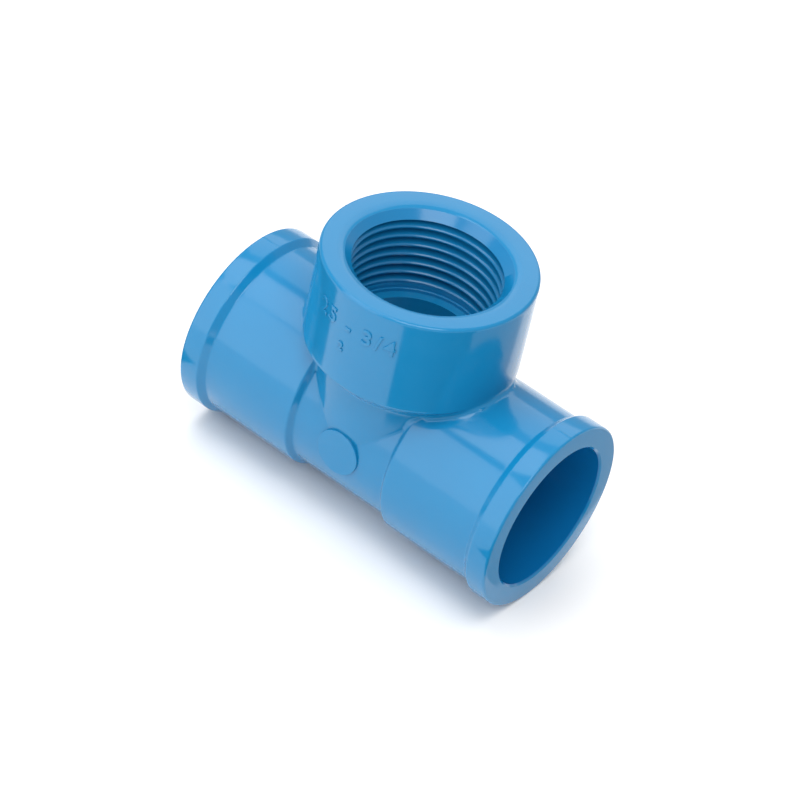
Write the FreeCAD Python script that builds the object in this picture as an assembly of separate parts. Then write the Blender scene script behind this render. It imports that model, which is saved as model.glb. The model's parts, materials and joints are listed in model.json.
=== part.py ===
import FreeCAD, Part

import math
import os

# Threaded pipe tee, all lengths in millimetres.
# A straight run with two solvent-weld sockets lies along X, and a branch with
# a female pipe thread rises along +Z. The origin is midway between the two
# run mouths, right below the branch, on the plane that the run stands on.
#
# It is two pieces: the moulded body, and a threaded bush that the body is
# moulded around. Ribs on the bush lock it against turning and pulling out.

# ---- Run -------------------------------------------------------------------
PIPE_RADIUS = 12.5            # outside of the pipe that the sockets take
SOCKET_CLEARANCE = 0.1        # radial gap between pipe and socket
SOCKET_DEPTH = 18.6           # mouth to pipe stop
CENTRE_TO_STOP = 13.4         # branch axis to pipe stop
STOP_LEDGE = 1.8              # width of the shoulder that stops the pipe
SOCKET_LEAD_IN = 0.35         # chamfer inside each mouth
HUB_WALL = 2.9                # wall around a socket
MOUTH_BAND_RISE = 1.0         # the band at a mouth stands this far off the hub
MOUTH_BAND_WIDTH = 3.7
MOUTH_BAND_SLOPE = 1.1        # length of the slope from the hub up to the band
BARREL_DROP = 1.0             # the middle barrel lies this far below the hub
BARREL_HALF_LENGTH = 9.2
BARREL_SLOPE = 0.8            # length of the slope from the barrel to a hub
SHOULDER_ROUND = 0.5          # rounding on both edges of every slope
MOUTH_EDGE_ROUND = 0.4

# ---- Branch ----------------------------------------------------------------
THREAD_MAJOR_RADIUS = 13.22   # G 3/4 parallel pipe thread, 26.441 mm across
THREADS_PER_INCH = 14
THREAD_ANGLE = 55.0           # degrees between the flanks
THREAD_SOCKET_DEPTH = 16.1    # branch mouth to seat
THREAD_END_LAND = 1.3         # plain stretch between the seat and the thread
CREST_SECTORS = 8             # faces into which one turn of a crest is divided
SEAT_ABOVE_HUB = 0.4          # seat height over the top of the hubs
SEAT_LEDGE = 1.85             # width of the ledge that the pipe end meets
SEAT_RING_HEIGHT = 0.6        # low ring inside the foot of the bush
SEAT_RING_WIDTH = 0.3
COLLAR_FOOT_OVERLAP = 0.25    # collar's lower edge below the top of the hubs
COLLAR_WALL = 2.08            # collar wall outside the bush's ribs
COLLAR_EDGE_ROUND = 1.0       # outer edge of the branch mouth
RIM_FLAT = 1.7                # flat ring on top, inside the rounded edge
RIM_DISH = 0.6                # the rim dips this far to the bush

# ---- Threaded bush ---------------------------------------------------------
BUSH_WALL = 1.5               # bush wall outside the thread's roots
BUSH_LIP = 0.23               # bush mouth radius outside the thread's roots
BUSH_LIP_DEPTH = 1.0          # depth at which the bush widens under the rim
BUSH_LIP_SLOPE = 1.2
RIB_COUNT = 12
RIB_HEIGHT = 0.7
RIB_WIDTH = 3.2
RIB_END_GAP = 1.5             # bare ends of the bush above and below the ribs

# ---- Gate mark on the front of the barrel ----------------------------------
GATE_MARK_RADIUS = 4.0
GATE_MARK_RISE = 0.35

# ---- Sizes that follow -----------------------------------------------------
SOCKET_RADIUS = PIPE_RADIUS + SOCKET_CLEARANCE
RUN_BORE_RADIUS = SOCKET_RADIUS - STOP_LEDGE
HUB_RADIUS = SOCKET_RADIUS + HUB_WALL
MOUTH_BAND_RADIUS = HUB_RADIUS + MOUTH_BAND_RISE
BARREL_RADIUS = HUB_RADIUS - BARREL_DROP
HALF_LENGTH = CENTRE_TO_STOP + SOCKET_DEPTH

PITCH = 25.4 / THREADS_PER_INCH
THREAD_HEIGHT = 0.640327 * PITCH
THREAD_FLAT = PITCH / 6
THREAD_MINOR_RADIUS = THREAD_MAJOR_RADIUS - THREAD_HEIGHT
BRANCH_BORE_RADIUS = THREAD_MINOR_RADIUS - SEAT_LEDGE
BUSH_RADIUS = THREAD_MAJOR_RADIUS + BUSH_WALL
BUSH_LIP_RADIUS = THREAD_MAJOR_RADIUS + BUSH_LIP
RIB_RADIUS = BUSH_RADIUS + RIB_HEIGHT
COLLAR_RADIUS = RIB_RADIUS + COLLAR_WALL
NECK_RADIUS = BARREL_RADIUS

# Heights over the run's axis, until the pieces are set on the ground plane.
SEAT_HEIGHT = HUB_RADIUS + SEAT_ABOVE_HUB
BRANCH_HEIGHT = SEAT_HEIGHT + THREAD_SOCKET_DEPTH
BUSH_TOP = BRANCH_HEIGHT - RIM_DISH
COLLAR_FOOT = HUB_RADIUS - COLLAR_FOOT_OVERLAP
AXIS_HEIGHT = MOUTH_BAND_RADIUS

ORIGIN = FreeCAD.Vector(0, 0, 0)
X_AXIS = FreeCAD.Vector(1, 0, 0)
Y_AXIS = FreeCAD.Vector(0, 1, 0)
Z_AXIS = FreeCAD.Vector(0, 0, 1)
FULL_TURN = 360
PAST_END = 1.0                # how far a cutting tool runs past an open end
SAME_PLACE = 1e-6


def turned(outline, axis, angle=FULL_TURN):
    """Solid of revolution from (distance along the axis, radius) points."""
    across = Z_AXIS if axis == X_AXIS else X_AXIS
    points = [axis * along + across * radius for along, radius in outline]
    face = Part.Face(Part.makePolygon(points + points[:1]))
    return face.revolve(ORIGIN, axis, angle)


def rounded(solid, axis, corners, radius):
    """Round the circular edges at these corners, on both sides of the origin."""
    edges = []
    for edge in solid.Edges:
        if isinstance(edge.Curve, Part.Circle):
            along = abs(edge.Curve.Center.dot(axis))
            for corner_along, corner_radius in corners:
                at_place = abs(along - corner_along) < SAME_PLACE
                if at_place and abs(edge.Curve.Radius - corner_radius) < SAME_PLACE:
                    edges.append(edge)
    return solid.makeFillet(radius, edges)


def run_outside():
    """Barrel, two hubs and two mouth bands, with rounded slopes between."""
    hub_start = BARREL_HALF_LENGTH + BARREL_SLOPE
    band_start = HALF_LENGTH - MOUTH_BAND_WIDTH
    slope_corners = [
        (BARREL_HALF_LENGTH, BARREL_RADIUS),
        (hub_start, HUB_RADIUS),
        (band_start - MOUTH_BAND_SLOPE, HUB_RADIUS),
        (band_start, MOUTH_BAND_RADIUS),
    ]
    right = slope_corners + [(HALF_LENGTH, MOUTH_BAND_RADIUS)]
    left = [(-along, radius) for along, radius in reversed(right)]
    run = turned([(-HALF_LENGTH, 0)] + left + right + [(HALF_LENGTH, 0)], X_AXIS)

    run = rounded(run, X_AXIS, slope_corners, SHOULDER_ROUND)
    mouth_corner = (HALF_LENGTH, MOUTH_BAND_RADIUS)
    return rounded(run, X_AXIS, [mouth_corner], MOUTH_EDGE_ROUND)


def branch_outside():
    """Neck as wide as the barrel, and the thick collar around the thread."""
    flare = COLLAR_RADIUS - NECK_RADIUS
    branch = turned(
        [
            (0, 0),
            (0, NECK_RADIUS),
            (COLLAR_FOOT - flare, NECK_RADIUS),
            (COLLAR_FOOT, COLLAR_RADIUS),
            (BRANCH_HEIGHT, COLLAR_RADIUS),
            (BRANCH_HEIGHT, 0),
        ],
        Z_AXIS,
    )
    return rounded(branch, Z_AXIS, [(BRANCH_HEIGHT, COLLAR_RADIUS)], COLLAR_EDGE_ROUND)


def gate_mark():
    """Low raised disc on the front, where the plastic entered the mould."""
    front = BARREL_RADIUS + GATE_MARK_RISE
    base = FreeCAD.Vector(0, -front, 0)
    return Part.makeCylinder(GATE_MARK_RADIUS, front / 2, base, Y_AXIS)


def run_bore():
    """Both pipe sockets with their lead-ins, and the waterway between."""
    past = HALF_LENGTH + PAST_END
    right = [
        (CENTRE_TO_STOP, RUN_BORE_RADIUS),
        (CENTRE_TO_STOP, SOCKET_RADIUS),
        (HALF_LENGTH - SOCKET_LEAD_IN, SOCKET_RADIUS),
        (HALF_LENGTH, SOCKET_RADIUS + SOCKET_LEAD_IN),
        (past, SOCKET_RADIUS + SOCKET_LEAD_IN),
    ]
    left = [(-along, radius) for along, radius in reversed(right)]
    return turned([(-past, 0)] + left + right + [(past, 0)], X_AXIS)


def branch_bore():
    """Waterway up to the seat, and the dish that leads from rim to bush."""
    waterway = turned(
        [
            (0, 0),
            (0, BRANCH_BORE_RADIUS),
            (BRANCH_HEIGHT, BRANCH_BORE_RADIUS),
            (BRANCH_HEIGHT, 0),
        ],
        Z_AXIS,
    )
    dish_radius = COLLAR_RADIUS - COLLAR_EDGE_ROUND - RIM_FLAT
    dish = turned(
        [
            (BUSH_TOP, 0),
            (BUSH_TOP, BUSH_LIP_RADIUS),
            (BRANCH_HEIGHT, dish_radius),
            (BRANCH_HEIGHT + PAST_END, dish_radius),
            (BRANCH_HEIGHT + PAST_END, 0),
        ],
        Z_AXIS,
    )
    return waterway.fuse(dish)


def bush_outside():
    """The bush without its thread: a lipped barrel with ribs along it."""
    wide_top = BUSH_TOP - BUSH_LIP_DEPTH - BUSH_LIP_SLOPE
    blank = turned(
        [
            (SEAT_HEIGHT, 0),
            (SEAT_HEIGHT, BUSH_RADIUS),
            (wide_top, BUSH_RADIUS),
            (BUSH_TOP - BUSH_LIP_DEPTH, BUSH_LIP_RADIUS),
            (BUSH_TOP, BUSH_LIP_RADIUS),
            (BUSH_TOP, 0),
        ],
        Z_AXIS,
    )
    rib_foot = SEAT_HEIGHT + RIB_END_GAP
    rib_length = wide_top - RIB_END_GAP - rib_foot
    envelope = Part.makeCylinder(RIB_RADIUS, rib_length, Z_AXIS * rib_foot)
    for index in range(RIB_COUNT):
        corner = FreeCAD.Vector(0, -RIB_WIDTH / 2, rib_foot)
        rib = Part.makeBox(RIB_RADIUS, RIB_WIDTH, rib_length, corner)
        rib.rotate(ORIGIN, Z_AXIS, index * FULL_TURN / RIB_COUNT)
        blank = blank.fuse(rib.common(envelope))
    return blank.removeSplitter()


def thread_groove():
    """One right-hand helical groove, from its land up past the mouth."""
    foot = SEAT_HEIGHT + THREAD_END_LAND + PITCH / 2
    flank_slope = math.tan(math.radians(THREAD_ANGLE / 2))
    inside = THREAD_MINOR_RADIUS - THREAD_HEIGHT / 8
    opening = THREAD_FLAT / 2 + (THREAD_MAJOR_RADIUS - inside) * flank_slope
    section = [
        (inside, -opening),
        (THREAD_MAJOR_RADIUS, -THREAD_FLAT / 2),
        (THREAD_MAJOR_RADIUS, THREAD_FLAT / 2),
        (inside, opening),
    ]
    points = [FreeCAD.Vector(radius, 0, height) for radius, height in section]
    outline = Part.makePolygon(points + points[:1])
    helix = Part.makeHelix(PITCH, BUSH_TOP + PITCH - foot, THREAD_MINOR_RADIUS)
    groove = Part.Wire(helix.Edges).makePipeShell([outline], True, True)
    groove.translate(Z_AXIS * foot)
    return groove


def threaded_sleeve():
    """Sleeve that is wider and taller than the bush, threaded all the way up."""
    ring_radius = THREAD_MINOR_RADIUS - SEAT_RING_WIDTH
    ring_top = SEAT_HEIGHT + SEAT_RING_HEIGHT
    sleeve_radius = RIB_RADIUS + PAST_END
    sleeve_top = BUSH_TOP + 3 * PITCH
    sleeve = turned(
        [
            (SEAT_HEIGHT - PAST_END, ring_radius),
            (ring_top, ring_radius),
            (ring_top, THREAD_MINOR_RADIUS),
            (sleeve_top, THREAD_MINOR_RADIUS),
            (sleeve_top, sleeve_radius),
            (SEAT_HEIGHT - PAST_END, sleeve_radius),
        ],
        Z_AXIS,
    )
    return sleeve.cut(thread_groove())


def mouth_cone():
    """Tool for the 45 degree lead-in at the bush's mouth."""
    depth = BUSH_LIP_RADIUS - THREAD_MINOR_RADIUS + PAST_END
    return turned(
        [
            (BUSH_TOP - depth, 0),
            (BUSH_TOP - depth, BUSH_LIP_RADIUS - depth),
            (BUSH_TOP + PAST_END, BUSH_LIP_RADIUS + PAST_END),
            (BUSH_TOP + PAST_END, 0),
        ],
        Z_AXIS,
    )


def in_sectors(piece):
    """The same solid, with its faces divided into equal sectors.

    It gives every turn of the thread's crest short faces that are nearly level.
    """
    sector_angle = FULL_TURN / CREST_SECTORS
    wedge = turned(
        [
            (0, 0),
            (0, COLLAR_RADIUS),
            (BRANCH_HEIGHT, COLLAR_RADIUS),
            (BRANCH_HEIGHT, 0),
        ],
        Z_AXIS,
        sector_angle,
    )
    sectors = []
    for index in range(CREST_SECTORS):
        turned_wedge = wedge.copy()
        turned_wedge.rotate(ORIGIN, Z_AXIS, (index + 0.5) * sector_angle)
        sectors.append(piece.common(turned_wedge))
    return sectors[0].fuse(sectors[1:])


def make_bush(blank):
    """Threaded bush: the threaded sleeve, trimmed to the bush's outside."""
    bush = threaded_sleeve().cut(mouth_cone()).common(blank)
    return in_sectors(bush.Solids[0])


def make_body(blank):
    """Moulded tee body, with a pocket that is the exact shape of the bush."""
    body = run_outside().fuse(branch_outside()).fuse(gate_mark())
    return body.cut(run_bore()).cut(branch_bore()).cut(blank)


def save(name, shape):
    """Set a piece on the ground plane and write it as one STEP file."""
    solid = shape.Solids[0]
    solid.translate(Z_AXIS * AXIS_HEIGHT)
    print(name, "solids", len(shape.Solids), "valid", solid.isValid(),
          "volume", round(solid.Volume, 1))
    solid.exportStep("parts/" + name + ".step")


os.makedirs("parts", exist_ok=True)
bush_blank = bush_outside()
save("tee_body", make_body(bush_blank))
save("threaded_bush", make_bush(bush_blank))
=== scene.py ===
# %% [markdown]
# # A blue pipe tee with a threaded branch
# This lesson builds a small PVC fitting that joins three water pipes. Two
# smooth sockets in line take glued pipes, and the branch takes a screwed one.
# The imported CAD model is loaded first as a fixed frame: it says where every
# surface lies, and the pieces made here follow it in finer detail.

import json
import math

import bmesh
import bpy
import numpy as np
from mathutils import Euler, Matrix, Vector


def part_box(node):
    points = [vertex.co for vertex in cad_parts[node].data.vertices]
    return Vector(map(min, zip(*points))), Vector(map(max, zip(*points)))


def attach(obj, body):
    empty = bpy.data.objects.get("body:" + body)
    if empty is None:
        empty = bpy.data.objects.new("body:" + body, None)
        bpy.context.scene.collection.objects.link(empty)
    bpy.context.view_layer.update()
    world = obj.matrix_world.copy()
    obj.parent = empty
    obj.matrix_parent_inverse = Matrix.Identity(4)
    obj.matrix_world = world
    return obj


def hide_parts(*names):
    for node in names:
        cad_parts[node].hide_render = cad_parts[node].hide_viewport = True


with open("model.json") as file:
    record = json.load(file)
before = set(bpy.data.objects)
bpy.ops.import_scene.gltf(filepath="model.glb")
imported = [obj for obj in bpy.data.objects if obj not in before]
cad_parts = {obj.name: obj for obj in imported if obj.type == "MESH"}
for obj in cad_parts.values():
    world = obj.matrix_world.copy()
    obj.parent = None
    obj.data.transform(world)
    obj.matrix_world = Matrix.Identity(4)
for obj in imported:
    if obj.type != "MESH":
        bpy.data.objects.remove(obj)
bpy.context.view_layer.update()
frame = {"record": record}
record = frame["record"]

# %% [markdown]
# ## Sizes
# Everything is modelled in millimetres about the point where the run's axis
# and the branch's axis cross, because that is how a mould maker would draw it.
# The main sizes are read from the frame and its record, so that the fine model
# can't drift away from the CAD. Only sizes that a box can't show, such as
# slopes and roundings, are written here as numbers.

# %% Read the main sizes from the frame
MM = 0.001
mounts = {mount["name"]: mount for mount in record["mounts"]}
body_low, body_high = (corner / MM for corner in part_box("tee_body"))
bush_low, bush_high = (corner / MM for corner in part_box("threaded_bush"))
AXIS_HEIGHT = mounts["left_socket"]["pos_m"][2] / MM
HALF_LENGTH = body_high.x
COLLAR_RADIUS = body_high.y
BAND_RADIUS = AXIS_HEIGHT - body_low.z
BRANCH_TOP = body_high.z - AXIS_HEIGHT
SEAT = bush_low.z - AXIS_HEIGHT
BUSH_TOP = bush_high.z - AXIS_HEIGHT
RIB_RADIUS = bush_high.y
SOCKET_RADIUS = mounts["left_socket"]["dims"]["r_mm"]
CREST_RADIUS = mounts["branch_thread"]["dims"]["r_mm"]
print("half length", HALF_LENGTH, "collar", COLLAR_RADIUS, "seat", SEAT, "bush top", BUSH_TOP)

# %% Sizes that a box doesn't show
HUB_WALL = 2.9
BARREL_STEP = 1.0
STOP_WIDTH = 1.8
SOCKET_DEPTH = 18.6
LEAD_IN = 0.35
HUB_RADIUS = SOCKET_RADIUS + HUB_WALL
BARREL_RADIUS = HUB_RADIUS - BARREL_STEP
WATERWAY_RADIUS = SOCKET_RADIUS - STOP_WIDTH
COLLAR_FOOT = HUB_RADIUS - 0.25
BRANCH_WATERWAY_RADIUS = CREST_RADIUS - 1.85
INCH = 25.4
THREADS_PER_INCH = 14
DEPTH_PER_PITCH = 0.640327
PITCH = INCH / THREADS_PER_INCH
THREAD_DEPTH = DEPTH_PER_PITCH * PITCH
ROOT_RADIUS = CREST_RADIUS + THREAD_DEPTH
MOUTH_RADIUS = ROOT_RADIUS + 0.23
BUSH_WALL = 1.5
RIM_SHELF = 2.7
PLAIN_FOOT = 1.3
BUSH_RADIUS = ROOT_RADIUS + BUSH_WALL
RIM_INSIDE = COLLAR_RADIUS - RIM_SHELF
THREAD_FOOT = SEAT + PLAIN_FOOT
print("pitch", round(PITCH, 4), "root", round(ROOT_RADIUS, 3), "hub", HUB_RADIUS)

# %% [markdown]
# ## Sums on sockets
# Both shaders and Geometry Nodes do their maths with small nodes. Wiring each
# one by hand hides the idea behind the wires, so this class wraps a socket and
# turns ordinary Python sums into Math nodes. One method adds any other node.

# %% A socket that can be added and multiplied
class Signal:
    def __init__(self, tree, output=None):
        self.tree = tree
        self.output = output

    def node(self, kind, settings=None, inputs=None, pick=0):
        """Add a node: its settings first, then values or links for its sockets."""
        made = self.tree.nodes.new(kind)
        for name, value in (settings or {}).items():
            if name == "stops":
                for stop, (place, shade) in zip(made.color_ramp.elements, value):
                    stop.position, stop.color = place, shade
            else:
                setattr(made, name, value)
        for key, value in (inputs or {}).items():
            if isinstance(value, Signal):
                self.tree.links.new(value.output, made.inputs[key])
            else:
                made.inputs[key].default_value = value
        return Signal(self.tree, made.outputs[pick]) if made.outputs else made

    def maths(self, operation, *values):
        return self.node("ShaderNodeMath", {"operation": operation}, dict(enumerate(values)))

    def __add__(self, other):
        return self.maths("ADD", self, other)

    def __radd__(self, other):
        return self.maths("ADD", other, self)

    def __sub__(self, other):
        return self.maths("SUBTRACT", self, other)

    def __rsub__(self, other):
        return self.maths("SUBTRACT", other, self)

    def __mul__(self, other):
        return self.maths("MULTIPLY", self, other)

    def __rmul__(self, other):
        return self.maths("MULTIPLY", other, self)

    def __truediv__(self, other):
        return self.maths("DIVIDE", self, other)


# %% [markdown]
# ## Moulded PVC
# Injection-moulded PVC-U is an opaque, deeply coloured plastic with a smooth,
# slightly soft gloss. Polished steel leaves it almost a mirror, but the melt
# cools unevenly, so the gloss wanders a little and the colour carries faint
# clouds and flow marks. A Principled shader with three scales of noise on the
# Object coordinates gives that without any picture. Light that has bounced
# between the walls makes the inside of the run look deeper, so a mask mixes in
# a darker third blue as painted shade wherever a point is nearer the run's axis
# than the socket's wall.

# %% The blues, and where the bore's painted shade shows
DEEP_BLUE = (0.004, 0.175, 0.385, 1)
LIGHT_BLUE = (0.007, 0.210, 0.440, 1)
# Painted shade: the inside of the run's bores is drawn in this darker blue.
BORE_PAINTED_SHADE = (0.003, 0.145, 0.385, 1)
BUSH_DEEP_BLUE = (0.004, 0.168, 0.388, 1)
BUSH_LIGHT_BLUE = (0.007, 0.202, 0.442, 1)
BORE_EDGE = (0.02, 0.2)


def bore_painted_shade_mask(wires, place):
    """1 inside the run's bores and 0 outside, from the distance to the run's axis: where the
    painted shade goes.
    """
    apart = place.node("ShaderNodeSeparateXYZ", None, {0: place})
    across = Signal(wires.tree, apart.output.node.outputs[1])
    over_axis = Signal(wires.tree, apart.output.node.outputs[2]) - AXIS_HEIGHT * MM
    from_axis = wires.maths("SQRT", across * across + over_axis * over_axis)
    return wires.node("ShaderNodeMapRange", None, {
        "Value": from_axis, "From Min": (SOCKET_RADIUS + BORE_EDGE[0]) * MM,
        "From Max": (SOCKET_RADIUS + BORE_EDGE[1]) * MM, "To Min": 1.0, "To Max": 0.0})


# %% Build the plastic
def moulded_plastic(name, gloss, deep_blue, light_blue):
    material = bpy.data.materials.new(name)
    material.use_nodes = True
    tree = material.node_tree
    shader = tree.nodes["Principled BSDF"]
    wires = Signal(tree)
    place = wires.node("ShaderNodeTexCoord", pick=3)
    clouds = wires.node("ShaderNodeTexNoise", None,
                        {"Vector": place, "Scale": 70.0, "Detail": 3.0, "Roughness": 0.6})
    flow_place = wires.node("ShaderNodeMapping", None,
                            {"Vector": place, "Scale": (0.35, 1.0, 0.6)})
    flow = wires.node("ShaderNodeTexNoise", None,
                      {"Vector": flow_place, "Scale": 420.0, "Detail": 4.0, "Distortion": 0.6})
    grain = wires.node("ShaderNodeTexNoise", None,
                       {"Vector": place, "Scale": 2600.0, "Detail": 2.0})
    shade = clouds * 0.7 + flow * 0.3
    colour = wires.node("ShaderNodeMix", {"data_type": "RGBA"},
                        {0: shade, 6: deep_blue, 7: light_blue}, pick=2)
    # Painted shade: a darker blue is mixed in inside the run's bores.
    colour = wires.node("ShaderNodeMix", {"data_type": "RGBA"},
                        {0: bore_painted_shade_mask(wires, place), 6: colour, 7: BORE_PAINTED_SHADE}, pick=2)
    tree.links.new(colour.output, shader.inputs["Base Color"])
    rough = gloss + (flow - 0.5) * 0.10 + (clouds - 0.5) * 0.06
    tree.links.new(rough.output, shader.inputs["Roughness"])
    height = grain * 0.5 + flow * 0.5
    bump = wires.node("ShaderNodeBump", None,
                      {"Strength": 0.06, "Distance": 0.00006, "Height": height})
    tree.links.new(bump.output, shader.inputs["Normal"])
    shader.inputs["IOR"].default_value = 1.53
    return material


body_plastic = moulded_plastic("body_pvc", 0.13, DEEP_BLUE, LIGHT_BLUE)
bush_plastic = moulded_plastic("bush_pvc", 0.16, BUSH_DEEP_BLUE, BUSH_LIGHT_BLUE)
print("materials", body_plastic.name, bush_plastic.name)

# %% [markdown]
# ## Turning on a lathe
# Nearly every surface of a pipe fitting is round about one of two axes, so the
# main helper is a lathe: it takes an outline and spins it. The outline's
# corners carry their own rounding, because a mould has no knife edges. Rows are
# set closer where two round shapes are going to meet.

# %% Round an outline's corners and space its rows
def rounded_outline(corners, steps=6):
    """(along, radius, rounding) corners to an outline with true arcs."""
    points = []
    for index, (along, radius, rounding) in enumerate(corners):
        here = np.array([along, radius], float)
        if not rounding:
            points.append(here)
            continue
        before = np.array(corners[index - 1][:2]) - here
        after = np.array(corners[index + 1][:2]) - here
        before /= np.linalg.norm(before)
        after /= np.linalg.norm(after)
        half = math.acos(float(before @ after)) / 2
        middle = (before + after) / np.linalg.norm(before + after)
        centre = here + middle * rounding / math.sin(half)
        start = here + before * rounding / math.tan(half) - centre
        end = here + after * rounding / math.tan(half) - centre
        sweep = math.pi - 2 * half
        for step in range(steps + 1):
            share = step / steps
            arm = math.sin((1 - share) * sweep) * start + math.sin(share * sweep) * end
            points.append(centre + arm / math.sin(sweep))
    return np.array(points)


def spaced(outline, fine, coarse, dense_to):
    """Divide long stretches: finely up to dense_to along the axis, coarsely past it."""
    rows = [outline[0]]
    for start, end in zip(outline, outline[1:]):
        near = min(abs(start[0]), abs(end[0])) < dense_to
        step = fine if near else coarse
        count = max(1, math.ceil(np.linalg.norm(end - start) / step))
        for index in range(1, count + 1):
            rows.append(start + (end - start) * index / count)
    return np.array(rows)


# %% Spin an outline into a closed mesh
COLUMNS = 288
PARTING_RISE = 0.06
PARTING_WIDTH = 0.11
PARTING_COLUMNS = (-0.2, -0.1, -0.05, 0.05, 0.1, 0.2)
PARTING_RADIUS = 15
ALONG_X = np.array([(1, 0, 0), (0, 0, 1), (0, 1, 0)], float)
ALONG_Z = np.array([(0, 0, 1), (1, 0, 0), (0, 1, 0)], float)
ALONG_FRONT = np.array([(0, -1, 0), (1, 0, 0), (0, 0, 1)], float)


def piece_from(name, vertices, faces, material):
    """Make a mesh object from millimetre points about the axes' crossing."""
    mesh = bpy.data.meshes.new(name)
    placed = (np.asarray(vertices, float) + (0, 0, AXIS_HEIGHT)) * MM
    mesh.from_pydata(placed.tolist(), [], faces)
    shell = bmesh.new()
    shell.from_mesh(mesh)
    bmesh.ops.recalc_face_normals(shell, faces=shell.faces)
    shell.to_mesh(mesh)
    shell.free()
    mesh.materials.append(material)
    piece = bpy.data.objects.new(name, mesh)
    bpy.context.scene.collection.objects.link(piece)
    return piece


def lathe(name, rows, basis, material, columns=COLUMNS, parting=False):
    """Spin rows whose first and last points lie on the axis."""
    turns = [index * math.tau / columns for index in range(columns)]
    if parting:
        for middle in (0, math.pi):
            turns += [middle + offset / PARTING_RADIUS for offset in PARTING_COLUMNS]
    turns = np.unique(np.round(np.mod(turns, math.tau), 9))
    count = len(turns)
    vertices = [basis[0] * rows[0][0]]
    for along, radius in rows[1:-1]:
        rise = 0
        if parting:
            off_line = np.abs(np.sin(turns)) * radius
            rise = PARTING_RISE * np.exp(-(off_line / PARTING_WIDTH) ** 2)
        reach = (radius + rise) * np.ones(count)
        ring = np.outer(reach * np.cos(turns), basis[1])
        ring += np.outer(reach * np.sin(turns), basis[2])
        vertices.extend(ring + basis[0] * along)
    vertices.append(basis[0] * rows[-1][0])
    last = len(vertices) - 1
    faces = []
    for column in range(count):
        beside = (column + 1) % count
        faces.append((0, 1 + column, 1 + beside))
        for ring in range(len(rows) - 3):
            low, high = 1 + ring * count, 1 + (ring + 1) * count
            faces.append((low + column, high + column, high + beside, low + beside))
        foot = last - count
        faces.append((foot + column, last, foot + beside))
    return piece_from(name, vertices, faces, material)


# %% Join and cut solids
def carve(target, tool, operation):
    """Cut the tool from the target, or add it, and use the tool up."""
    modifier = target.modifiers.new("carve", "BOOLEAN")
    modifier.operation = operation
    modifier.solver = "MANIFOLD"
    modifier.object = tool
    graph = bpy.context.evaluated_depsgraph_get()
    shaped = bpy.data.meshes.new_from_object(target.evaluated_get(graph))
    target.modifiers.remove(modifier)
    target.data = shaped
    bpy.data.objects.remove(tool)


def measured(piece):
    """Print a piece's faces, open edges and volume."""
    shell = bmesh.new()
    shell.from_mesh(piece.data)
    loose = sum(1 for edge in shell.edges if len(edge.link_faces) != 2)
    volume = shell.calc_volume(signed=True) / MM ** 3
    print(piece.name, "faces", len(shell.faces), "open edges", loose, "mm3", round(volume, 1))
    shell.free()


# %% [markdown]
# ## The run and the branch
# The run is a barrel with a thicker hub at each end and a raised band round each
# mouth, which keeps the socket from splitting when a pipe is driven in. The
# branch is a neck as wide as the barrel, flaring under a thick collar. Both are
# turned as full solids first and joined, since that is how the mould's two
# cavities meet. The mould's halves part in the plane of both axes, which leaves
# a hair-thin line, so the lathe adds it there.

# %% Outside of the run
SLOPE_ROUND = 0.5
run_half = [
    (9.2, BARREL_RADIUS, SLOPE_ROUND),
    (10.0, HUB_RADIUS, SLOPE_ROUND),
    (HALF_LENGTH - 4.8, HUB_RADIUS, SLOPE_ROUND),
    (HALF_LENGTH - 3.7, BAND_RADIUS, SLOPE_ROUND),
    (HALF_LENGTH, BAND_RADIUS, 0.4),
]
run_corners = [(-HALF_LENGTH, 0, 0)]
run_corners += [(-along, radius, rounding) for along, radius, rounding in reversed(run_half)]
run_corners += run_half + [(HALF_LENGTH, 0, 0)]
run_outline = rounded_outline(run_corners)
body = lathe("tee_moulding", spaced(run_outline, fine=0.4, coarse=3.0, dense_to=19.5),
             ALONG_X, body_plastic, parting=True)
measured(body)

# %% Outside of the branch
flare = COLLAR_RADIUS - BARREL_RADIUS
branch_outline = rounded_outline([
    (0, 0, 0),
    (0, BARREL_RADIUS, 0),
    (COLLAR_FOOT - flare, BARREL_RADIUS, 0.9),
    (COLLAR_FOOT, COLLAR_RADIUS, 0.6),
    (BRANCH_TOP, COLLAR_RADIUS, 0.6),
    (BRANCH_TOP, 0, 0),
])
branch = lathe("branch", spaced(branch_outline, fine=0.4, coarse=3.0, dense_to=17.0),
               ALONG_Z, body_plastic, parting=True)
carve(body, branch, "UNION")
measured(body)

# %% [markdown]
# ## Blending the joint
# Where the branch grows out of the run, a mould always leaves a small fillet.
# A bevel can't follow this joint, because the angle between the surfaces runs
# from a right angle down to nothing. Instead each vertex near the joint is
# moved as if a ball of the fillet's radius rolled along both surfaces: the
# distance to each surface, and its direction, say where the ball's centre is.

# %% Distance from a turned surface
def turned_distance(points, outline, basis):
    """Signed distance from the surface that the outline makes when it is spun."""
    along = points @ basis[0]
    radius = np.hypot(points @ basis[1], points @ basis[2])
    flat = np.stack([along, radius], 1)[:, None, :]
    start, end = outline[None, :-1], outline[None, 1:]
    span = end - start
    share = ((flat - start) * span).sum(2) / (span ** 2).sum(2)
    nearest = start + span * np.clip(share, 0, 1)[:, :, None]
    distance = np.sqrt(((flat - nearest) ** 2).sum(2).min(1))
    inside = radius < np.interp(along, outline[:, 0], outline[:, 1])
    inside &= (along > outline[0, 0]) & (along < outline[-1, 0])
    return np.where(inside, -distance, distance)


def with_slope(points, outline, basis):
    """The distance, and the direction in which it grows fastest."""
    nudge = 0.002
    slope = np.empty_like(points)
    for axis in range(3):
        shift = np.zeros(3)
        shift[axis] = nudge
        ahead = turned_distance(points + shift, outline, basis)
        behind = turned_distance(points - shift, outline, basis)
        slope[:, axis] = ahead - behind
    slope /= np.maximum(np.linalg.norm(slope, axis=1, keepdims=True), 1e-9)
    return turned_distance(points, outline, basis), slope


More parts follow.
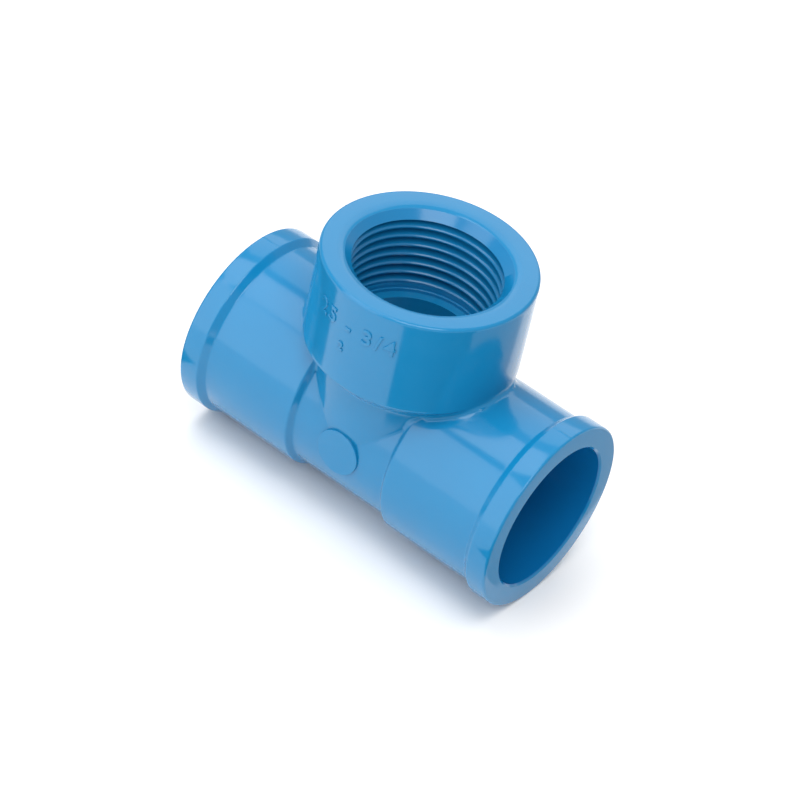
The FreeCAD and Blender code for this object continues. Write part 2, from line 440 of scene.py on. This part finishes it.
# %% Roll a ball along the joint
FILLET = 0.9
HUB_REACH = 29
near_run = run_outline[np.abs(run_outline[:, 0]) < HUB_REACH]
near_run = np.vstack([[(-HUB_REACH, HUB_RADIUS)], near_run, [(HUB_REACH, HUB_RADIUS)]])
near_branch = branch_outline[1:]


def rolled(points):
    """Points moved on to the fillet, and the surface's direction there."""
    from_run, run_way = with_slope(points, near_run, ALONG_X)
    from_branch, branch_way = with_slope(points, near_branch, ALONG_Z)
    lean = (run_way * branch_way).sum(1)
    turn = np.maximum(1 - lean ** 2, 1e-3)
    to_run, to_branch = FILLET - from_run, FILLET - from_branch
    first = (to_run - lean * to_branch) / turn
    second = (to_branch - lean * to_run) / turn
    to_centre = first[:, None] * run_way + second[:, None] * branch_way
    reach = np.maximum(np.linalg.norm(to_centre, axis=1, keepdims=True), 1e-6)
    in_fillet = (first > 0) & (second > 0)
    moved = np.where(in_fillet[:, None], points + to_centre * (1 - FILLET / reach), points)
    plain = np.where((from_run < from_branch)[:, None], run_way, branch_way)
    facing = np.where(in_fillet[:, None], to_centre / reach, plain)
    return moved, facing, np.minimum(from_run, from_branch), in_fillet


def points_of(piece):
    """A piece's vertices in millimetres about the axes' crossing."""
    coordinates = np.empty(len(piece.data.vertices) * 3)
    piece.data.vertices.foreach_get("co", coordinates)
    return coordinates.reshape(-1, 3) / MM - (0, 0, AXIS_HEIGHT)


# %% Move the vertices near the joint
JOINT_HALF_LENGTH = 21
JOINT_LOW, JOINT_HIGH = -2, 19
ROLL_ROUNDS = 4
points = points_of(body)
near = np.abs(points[:, 0]) < JOINT_HALF_LENGTH
near &= (points[:, 2] < JOINT_HIGH) & (points[:, 2] > JOINT_LOW)
rolling = points[near]
for step in range(ROLL_ROUNDS):
    rolling, facing, depth, in_fillet = rolled(rolling)
points[near] = rolling
body.data.vertices.foreach_set("co", ((points + (0, 0, AXIS_HEIGHT)) * MM).ravel())
body.data.update()
print("vertices on the fillet", int(in_fillet.sum()))

# %% Soften the corners where no ball fits
CORNER_REACH = 1.8
CORNER_SIDES = (1.2, 8)
CORNER_ROUNDS = 8


def in_corner(points):
    """Where the collar's foot runs into a hub: three surfaces meet, and no ball fits."""
    around_foot = np.hypot(np.hypot(points[:, 0], points[:, 1]) - COLLAR_RADIUS,
                           points[:, 2] - COLLAR_FOOT)
    aside = np.abs(points[:, 1])
    return (around_foot < CORNER_REACH) & (aside > CORNER_SIDES[0]) & (aside < CORNER_SIDES[1])


shell = bmesh.new()
shell.from_mesh(body.data)
shell.verts.ensure_lookup_table()
corner = [shell.verts[int(index)] for index in np.nonzero(in_corner(points))[0]]
for step in range(CORNER_ROUNDS):
    bmesh.ops.smooth_vert(shell, verts=corner, factor=0.5,
                          use_axis_x=True, use_axis_y=True, use_axis_z=True)
shell.to_mesh(body.data)
shell.free()
print("vertices in the corners", len(corner))

# %% [markdown]
# ## Gate mark and raised size
# Molten plastic enters the mould through a small gate at the middle of the
# barrel, and the stub that is trimmed away leaves a low round pad. The collar
# carries the nominal size in raised digits, which the mould maker engraves in
# the steel. The digits start as flat text, are made a mesh, and are then bent
# round the collar point by point.

# %% Gate mark
GATE_RISE = 0.35
GATE_RADIUS = 4.0
gate_face = BARREL_RADIUS + GATE_RISE
gate_root = gate_face - 2.5
gate_outline = rounded_outline([
    (gate_root, 0, 0),
    (gate_root, GATE_RADIUS, 0),
    (gate_face, GATE_RADIUS, 0.12),
    (gate_face, 0, 0),
])
gate = lathe("gate_mark", gate_outline, ALONG_FRONT, body_plastic, columns=96)
carve(body, gate, "UNION")
measured(body)


# %% Raised digits, bent round the collar
DIGIT_RISE = 0.2
DIGIT_SINK = 0.3
DIGIT_BEVEL = 0.09
DIGIT_SHARE = 0.73  # how much of a font's size its digits take up


def raised_digits(name, words, height, middle, level):
    """Closed digits that stand out of the collar, centred on an angle."""
    curve = bpy.data.curves.new(name, "FONT")
    curve.body = words
    curve.size = height / DIGIT_SHARE
    curve.space_character = 1.25
    curve.offset = 0.02
    curve.bevel_depth = DIGIT_BEVEL
    curve.bevel_resolution = 2
    curve.align_x = "CENTER"
    curve.extrude = DIGIT_SINK + DIGIT_RISE - DIGIT_BEVEL
    curve.resolution_u = 3
    flat = bpy.data.objects.new(name, curve)
    bpy.context.scene.collection.objects.link(flat)
    graph = bpy.context.evaluated_depsgraph_get()
    mesh = bpy.data.meshes.new_from_object(flat.evaluated_get(graph))
    bpy.data.objects.remove(flat)
    shell = bmesh.new()
    shell.from_mesh(mesh)
    bmesh.ops.remove_doubles(shell, verts=shell.verts, dist=1e-4)
    vertices = []
    for vertex in shell.verts:
        across, up, out = vertex.co
        angle = middle + across / COLLAR_RADIUS
        radius = COLLAR_RADIUS + out - DIGIT_SINK
        vertices.append((radius * math.cos(angle), radius * math.sin(angle), level + up))
    faces = [[vertex.index for vertex in face.verts] for face in shell.faces]
    shell.free()
    return piece_from(name, vertices, faces, body_plastic)


size_digits = raised_digits("size_digits", "25 - 3/4", height=2.8,
                            middle=math.radians(-91), level=25.2)
measured(size_digits)
carve(body, size_digits, "UNION")
cavity_digit = raised_digits("cavity_digit", "2", height=1.5,
                             middle=math.radians(-96), level=21.6)
carve(body, cavity_digit, "UNION")
measured(body)

# %% [markdown]
# ## Bores
# Each socket is a plain bore that ends at a narrow ledge, where the pipe's end
# stops. The branch has its own waterway, and a shallow dish leads from the rim
# to the bush. These are turned as plugs and cut away.

# %% Cut the run's bores and the branch's waterway
past = HALF_LENGTH + 1
bore_half = [
    (HALF_LENGTH - SOCKET_DEPTH, WATERWAY_RADIUS, 0),
    (HALF_LENGTH - SOCKET_DEPTH, SOCKET_RADIUS, 0),
    (HALF_LENGTH - LEAD_IN, SOCKET_RADIUS, 0),
    (HALF_LENGTH, SOCKET_RADIUS + LEAD_IN, 0),
    (past, SOCKET_RADIUS + LEAD_IN, 0),
]
bore_corners = [(-past, 0, 0)]
bore_corners += [(-along, radius, rounding) for along, radius, rounding in reversed(bore_half)]
bore_corners += bore_half + [(past, 0, 0)]
bore = lathe("run_bore", spaced(rounded_outline(bore_corners), fine=1.0, coarse=3.0, dense_to=12),
             ALONG_X, body_plastic)
carve(body, bore, "DIFFERENCE")
waterway = lathe("branch_bore", spaced(rounded_outline([
    (0, 0, 0),
    (0, BRANCH_WATERWAY_RADIUS, 0),
    (BUSH_TOP - 2, BRANCH_WATERWAY_RADIUS, 0),
    (BUSH_TOP - 0.5, MOUTH_RADIUS - 0.3, 0),
    (BUSH_TOP, MOUTH_RADIUS, 0),
    (BRANCH_TOP, RIM_INSIDE, 0),
    (BRANCH_TOP + 1, RIM_INSIDE, 0),
    (BRANCH_TOP + 1, 0, 0),
]), fine=1.0, coarse=3.0, dense_to=14), ALONG_Z, body_plastic)
carve(body, waterway, "DIFFERENCE")
measured(body)

# %% [markdown]
# ## The threaded bush
# The thread is a separate ring that the tee is moulded around, with ribs that
# lock it against turning. A thread follows one rule, so Geometry Nodes make it:
# a flat grid is rolled into a tube whose rows climb by one pitch each turn, and
# the radius of a row depends only on where it is in the pitch. That gives a tap,
# the tool that cuts a thread, and the tap is then cut out of a plain ring.

# %% Start a node tree, and turn one into a plain mesh
def geometry_tree(name, inputs):
    """A tree with named inputs, and a signal for each of them."""
    tree = bpy.data.node_groups.new(name, "GeometryNodeTree")
    for label, kind in inputs.items():
        tree.interface.new_socket(label, in_out="INPUT", socket_type="NodeSocket" + kind)
    tree.interface.new_socket("Geometry", in_out="OUTPUT", socket_type="NodeSocketGeometry")
    entry = tree.nodes.new("NodeGroupInput")
    return tree, {label: Signal(tree, entry.outputs[label]) for label in inputs}


def finish_tree(wires, geometry, material):
    """End the tree as real faces with a material."""
    real = wires.node("GeometryNodeRealizeInstances", None, {"Geometry": geometry})
    painted = wires.node("GeometryNodeSetMaterial", None, {"Geometry": real, "Material": material})
    exit_node = wires.tree.nodes.new("NodeGroupOutput")
    wires.tree.links.new(painted.output, exit_node.inputs["Geometry"])


def grown(name, tree, values):
    """Run a tree once, with its inputs set, and keep the plain mesh."""
    holder = bpy.data.objects.new(name, bpy.data.meshes.new(name))
    bpy.context.scene.collection.objects.link(holder)
    modifier = holder.modifiers.new("grow", "NODES")
    modifier.node_group = tree
    for item in tree.interface.items_tree:
        if item.in_out == "INPUT":
            modifier[item.identifier] = values[item.name]
    graph = bpy.context.evaluated_depsgraph_get()
    holder.data = bpy.data.meshes.new_from_object(holder.evaluated_get(graph))
    holder.modifiers.remove(modifier)
    shell = bmesh.new()
    shell.from_mesh(holder.data)
    bmesh.ops.remove_doubles(shell, verts=shell.verts, dist=1e-7)
    bmesh.ops.recalc_face_normals(shell, faces=shell.faces)
    shell.to_mesh(holder.data)
    shell.free()
    return holder


# %% The tap, as a rolled grid
tap_tree, tap = geometry_tree("thread_tap", {
    "Pitch": "Float", "Crest Radius": "Float", "Thread Depth": "Float",
    "Foot": "Float", "Top": "Float", "Thread Start": "Float", "Thread End": "Float",
    "Fade": "Float", "Turns": "Int", "Rows per Turn": "Int", "Columns": "Int",
    "Material": "Material",
})
wires = Signal(tap_tree)
grid = wires.node("GeometryNodeMeshGrid", None, {
    "Size X": 1.0, "Size Y": 1.0,
    "Vertices X": tap["Columns"] + 1, "Vertices Y": tap["Turns"] * tap["Rows per Turn"] + 1,
})
where = wires.node("GeometryNodeInputPosition")
split = where.node("ShaderNodeSeparateXYZ", None, {0: where})
around = split + 0.5
upward = Signal(tap_tree, split.output.node.outputs[1]) + 0.5
climb = upward * tap["Turns"]
raw_height = tap["Foot"] + (climb + around - 1) * tap["Pitch"]
height = wires.maths("MINIMUM", wires.maths("MAXIMUM", raw_height, tap["Foot"]), tap["Top"])
print("tap tree nodes so far", len(tap_tree.nodes))

# %% Thread profile: a wave whose peaks and hollows are rounded
phase = wires.maths("FRACT", climb)
from_crest = 1 - wires.maths("ABSOLUTE", phase - 0.5) * 2
ramp_in = wires.node("ShaderNodeMapRange", {"interpolation_type": "SMOOTHERSTEP"}, {
    "Value": from_crest, "From Min": 0.10, "From Max": 0.90, "To Min": 0.0, "To Max": 1.0})
straight = wires.node("ShaderNodeMapRange", {"interpolation_type": "LINEAR"}, {
    "Value": from_crest, "From Min": 0.17, "From Max": 0.83, "To Min": 0.0, "To Max": 1.0})
wave = ramp_in * 0.35 + straight * 0.65
fade_in = wires.node("ShaderNodeMapRange", None, {
    "Value": height, "From Min": tap["Thread Start"],
    "From Max": tap["Thread Start"] + tap["Fade"], "To Min": 0.0, "To Max": 1.0})
fade_out = wires.node("ShaderNodeMapRange", None, {
    "Value": height, "From Min": tap["Thread End"],
    "From Max": tap["Thread End"] + tap["Fade"], "To Min": 1.0, "To Max": 0.0})
radius = tap["Crest Radius"] + tap["Thread Depth"] * wave * fade_in * fade_out
angle = around * math.tau
rolled_up = wires.node("ShaderNodeCombineXYZ", None, {
    0: radius * wires.maths("COSINE", angle), 1: radius * wires.maths("SINE", angle), 2: height})
tube = wires.node("GeometryNodeSetPosition", None, {"Geometry": grid, "Position": rolled_up})
lids = []
for end in ("Foot", "Top"):
    lid = wires.node("GeometryNodeMeshCircle", {"fill_type": "NGON"},
                     {"Vertices": tap["Columns"], "Radius": tap["Crest Radius"]})
    lift = wires.node("ShaderNodeCombineXYZ", None, {2: tap[end]})
    lids.append(wires.node("GeometryNodeTransform", None, {"Geometry": lid, "Translation": lift}))
joined = wires.node("GeometryNodeJoinGeometry")
for part in (tube, *lids):
    tap_tree.links.new(part.output, joined.output.node.inputs[0])
welded = wires.node("GeometryNodeMergeByDistance", None, {"Geometry": joined, "Distance": 2e-6})
finish_tree(wires, welded, tap["Material"])

# %% Grow the tap
tap_top = BUSH_TOP + 2.4
thread_tap = grown("thread_tap", tap_tree, {
    "Pitch": PITCH * MM, "Crest Radius": CREST_RADIUS * MM, "Thread Depth": THREAD_DEPTH * MM,
    "Foot": (THREAD_FOOT - 0.2 + AXIS_HEIGHT) * MM, "Top": (tap_top + AXIS_HEIGHT) * MM,
    "Thread Start": (THREAD_FOOT + AXIS_HEIGHT) * MM,
    "Thread End": (BUSH_TOP - 1.8 + AXIS_HEIGHT) * MM,
    "Fade": 0.7 * MM, "Turns": math.ceil((tap_top - THREAD_FOOT) / PITCH) + 2,
    "Rows per Turn": 16, "Columns": 240, "Material": bush_plastic,
})
measured(thread_tap)

# %% [markdown]
# ## The bush's locking ribs
# Twelve equal ribs stand round the bush. One rib is placed on every point of a
# circle and turned to face outwards, which is the natural way for anything that
# repeats round an axis.

# %% Ribs round the bush
RIB_COUNT = 12
RIB_WIDTH = 3.2
rib_tree, rib = geometry_tree("rib_ring", {
    "Count": "Int", "Ring Radius": "Float", "Rib Size": "Vector", "Middle Height": "Float",
    "Material": "Material",
})
wires = Signal(rib_tree)
circle = wires.node("GeometryNodeMeshCircle", None,
                    {"Vertices": rib["Count"], "Radius": rib["Ring Radius"]})
one_rib = wires.node("GeometryNodeMeshCube", None, {"Size": rib["Rib Size"]})
number = wires.node("GeometryNodeInputIndex")
turn = wires.node("ShaderNodeCombineXYZ", None, {2: number * math.tau / rib["Count"]})
ring = wires.node("GeometryNodeInstanceOnPoints", None,
                  {"Points": circle, "Instance": one_rib, "Rotation": turn})
lift = wires.node("ShaderNodeCombineXYZ", None, {2: rib["Middle Height"]})
raised = wires.node("GeometryNodeTransform", None, {"Geometry": ring, "Translation": lift})
finish_tree(wires, raised, rib["Material"])

wide_top = BUSH_TOP - 2.2
rib_low, rib_high = SEAT + 1.5, wide_top - 1.5
rib_outside = math.sqrt(RIB_RADIUS ** 2 - (RIB_WIDTH / 2) ** 2)
rib_inside = CREST_RADIUS + 2.0
ribs = grown("ribs", rib_tree, {
    "Count": RIB_COUNT, "Ring Radius": (rib_outside + rib_inside) / 2 * MM,
    "Rib Size": ((rib_outside - rib_inside) * MM, RIB_WIDTH * MM, (rib_high - rib_low) * MM),
    "Middle Height": ((rib_low + rib_high) / 2 + AXIS_HEIGHT) * MM, "Material": bush_plastic,
})
measured(ribs)

# %% Plain ring, its pocket in the body, and the thread
bush = lathe("threaded_ring", spaced(rounded_outline([
    (SEAT, 0, 0),
    (SEAT, BUSH_RADIUS, 0),
    (wide_top, BUSH_RADIUS, 0),
    (BUSH_TOP - 1, MOUTH_RADIUS, 0),
    (BUSH_TOP, MOUTH_RADIUS, 0),
    (BUSH_TOP, 0, 0),
]), fine=2.0, coarse=3.0, dense_to=40), ALONG_Z, bush_plastic)
carve(bush, ribs, "UNION")
measured(bush)
pocket = bush.copy()
pocket.data = bush.data.copy()
bpy.context.scene.collection.objects.link(pocket)
carve(body, pocket, "DIFFERENCE")
measured(body)
carve(bush, thread_tap, "DIFFERENCE")
measured(bush)

# %% Open the bush's bore and chamfer its mouth
just_inside = CREST_RADIUS - 0.01
foot_radius = CREST_RADIUS - 0.3
inside = lathe("bush_bore", spaced(rounded_outline([
    (SEAT - 1, 0, 0),
    (SEAT - 1, foot_radius, 0),
    (SEAT + 0.6, foot_radius, 0.1),
    (SEAT + 0.6, just_inside, 0),
    (BUSH_TOP - (MOUTH_RADIUS - CREST_RADIUS), just_inside, 0),
    (BUSH_TOP, MOUTH_RADIUS - 0.03, 0),
    (BUSH_TOP + 1, MOUTH_RADIUS + 0.97, 0),
    (BUSH_TOP + 1, 0, 0),
]), fine=2.0, coarse=3.0, dense_to=40), ALONG_Z, bush_plastic)
carve(bush, inside, "DIFFERENCE")
measured(bush)

# %% [markdown]
# ## Shading
# The meshes are dense, so smooth shading hides their facets, but every crisp
# edge has to stay crisp. Edges sharper than a limit are marked, and on the
# outside each corner gets the true direction of the surface that it lies on,
# so that the gloss runs across the joint without a ripple.

# %% Smooth the faces and keep the edges
for piece, limit in ((body, 30), (bush, 34)):
    mesh = piece.data
    mesh.polygons.foreach_set("use_smooth", [True] * len(mesh.polygons))
    mesh.set_sharp_from_angle(angle=math.radians(limit))

# %% Give the outside its true directions
SETTLED = 0.02
ON_SURFACE = 0.05
SAME_WAY = 0.9
points = points_of(body)
moved, facing, depth, in_fillet = rolled(points)
settled = np.linalg.norm(moved - points, axis=1) < SETTLED
on_outside = settled & (in_fillet | (np.abs(depth) < ON_SURFACE))
corner_vertex = np.empty(len(body.data.loops), int)
body.data.loops.foreach_get("vertex_index", corner_vertex)
face_way = np.empty(len(body.data.polygons) * 3)
body.data.polygons.foreach_get("normal", face_way)
corners_per_face = np.empty(len(body.data.polygons), int)
body.data.polygons.foreach_get("loop_total", corners_per_face)
corner_face_way = np.repeat(face_way.reshape(-1, 3), corners_per_face, axis=0)
corner_way = facing[corner_vertex]
agree = (corner_way * corner_face_way).sum(1) > SAME_WAY
use = (on_outside & ~in_corner(points))[corner_vertex] & agree
corner_way[~use] = 0
body.data.normals_split_custom_set(corner_way.tolist())
print("corners with a true direction", int(use.sum()), "of", len(use))

# %% [markdown]
# ## Hand the pieces to the frame
# Each fine piece stands for one CAD node, which is hidden. Nothing
# in a tee moves, so both ride on the one body.

# %% Ride and replace
for piece, node, slot in ((body, "tee_body", "body"), (bush, "threaded_bush", "bush")):
    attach(piece, "root")
    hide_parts(node)

# %% [markdown]
# ## Studio
# Glossy plastic is a mirror for whatever stands round it, so a product picture
# is made by choosing what the gloss sees. Four soft boxes stand behind, above
# at the left, at the front left and high at the front right. An overhead light
# fills the shadows and is kept out of the gloss. Two dark cards and a grey one
# lie just over the pale floor, and only reflections can see them: they give the
# gloss its dark bands. A ring of real cards would work too, but it would throw
# shadows on the floor.

# %% Pale floor
HALF_FLOOR = 4000


def matte(name, shade):
    """A plain grey finish, and its shader."""
    material = bpy.data.materials.new(name)
    material.use_nodes = True
    shader = material.node_tree.nodes["Principled BSDF"]
    shader.inputs["Base Color"].default_value = (shade, shade, shade, 1)
    shader.inputs["Roughness"].default_value = 0.9
    return material, shader


def level_sheet(name, corners, height, material):
    """A flat sheet, in millimetres, that isn't part of the fitting."""
    mesh = bpy.data.meshes.new(name)
    mesh.from_pydata([(x * MM, y * MM, height * MM) for x, y in corners], [], [range(len(corners))])
    mesh.materials.append(material)
    sheet = bpy.data.objects.new(name, mesh)
    bpy.context.scene.collection.objects.link(sheet)
    return sheet


paper, paper_shader = matte("pale_floor", 0.92)
paper_shader.inputs["Specular IOR Level"].default_value = 0.1
level_sheet("floor", [(-HALF_FLOOR, -HALF_FLOOR), (HALF_FLOOR, -HALF_FLOOR),
                      (HALF_FLOOR, HALF_FLOOR), (-HALF_FLOOR, HALF_FLOOR)], 0, paper)
print("floor", 2 * HALF_FLOOR, "mm across")

# %% Cards beside the fitting, seen only in reflections
CARD_HEIGHT = 1
# Painted reflections: the cards' dark and grey shades show only in the gloss, as darker floor.
DARK_CARD_PAINTED_REFLECTION = 0.01
GREY_CARD_PAINTED_REFLECTION = 0.45
CARDS = {
    "right_card": (DARK_CARD_PAINTED_REFLECTION, [(17, -42), (49, -128), (300, -128),
                                (300, -5), (46, -5), (36, -30)]),
    "left_card": (DARK_CARD_PAINTED_REFLECTION, [(-39, -33), (-45, -20), (-50, 30),
                               (-300, 30), (-300, -67), (-110, -67)]),
    "grey_card": (GREY_CARD_PAINTED_REFLECTION, [(36, -4.5), (120, -4.5), (120, 60), (36, 60)]),
}
for name, (shade, corners) in CARDS.items():
    card = level_sheet(name, corners, CARD_HEIGHT, matte(name, shade)[0])
    card.visible_camera = card.visible_diffuse = card.visible_shadow = False
print("cards", *CARDS)


# %% Lights
def soft_light(name, place, width, height, power, aim=(0, 0, 0.02)):
    """A rectangular light that faces the fitting."""
    lamp = bpy.data.lights.new(name, "AREA")
    lamp.shape = "RECTANGLE"
    lamp.size, lamp.size_y, lamp.energy = width, height, power
    holder = bpy.data.objects.new(name, lamp)
    holder.location = place
    holder.rotation_euler = (Vector(aim) - Vector(place)).to_track_quat("-Z", "Y").to_euler()
    bpy.context.scene.collection.objects.link(holder)
    return holder


soft_light("back_softbox", (-0.41, 0.69, 0.75), 0.75, 0.75, 1.9)
soft_light("top_softbox", (-0.42, -0.15, 0.98), 0.58, 0.58, 2.1)
soft_light("front_left_softbox", (-0.42, -0.85, 0.47), 0.8, 1.04, 4.4)
soft_light("front_softbox", (0.28, -0.42, 0.85), 0.6, 0.6, 3.2)
overhead = soft_light("overhead_fill", (0, 0, 1.3), 1.2, 1.2, 8.5)
overhead.visible_glossy = False
world = bpy.data.worlds.new("studio")
bpy.context.scene.world = world
world.use_nodes = True
backdrop = world.node_tree.nodes["Background"]
backdrop.inputs["Color"].default_value = (1, 1, 1, 1)
backdrop.inputs["Strength"].default_value = 0.5
print("lights", [lamp.name for lamp in bpy.data.lights])

# %% [markdown]
# ## Camera
# The fitting is seen from the front, a little to the right and well above, with
# a long lens, so that the parallel lines of the run close in only slightly.

# %% Camera
AZIMUTH, ELEVATION, ROLL = math.radians(30.888), math.radians(39.294), math.radians(12.947)
DISTANCE = 510.63
AIM = Vector((-0.517, 1.384, 1.775 + AXIS_HEIGHT)) * MM
lens = bpy.data.cameras.new("camera")
lens.lens, lens.sensor_width = 142.50, 36.0
lens.clip_start, lens.clip_end = 0.01, 50
camera = bpy.data.objects.new("camera", lens)
away = Vector((math.sin(AZIMUTH) * math.cos(ELEVATION),
               -math.cos(AZIMUTH) * math.cos(ELEVATION), math.sin(ELEVATION)))
camera.location = AIM + away * DISTANCE * MM
upright = Euler((math.pi / 2 - ELEVATION, 0, AZIMUTH)).to_matrix()
camera.rotation_euler = (upright @ Euler((0, 0, ROLL)).to_matrix()).to_euler()
bpy.context.scene.collection.objects.link(camera)
bpy.context.scene.camera = camera
bpy.context.scene.view_settings.view_transform = "Standard"
print("camera at", [round(value, 4) for value in camera.location])
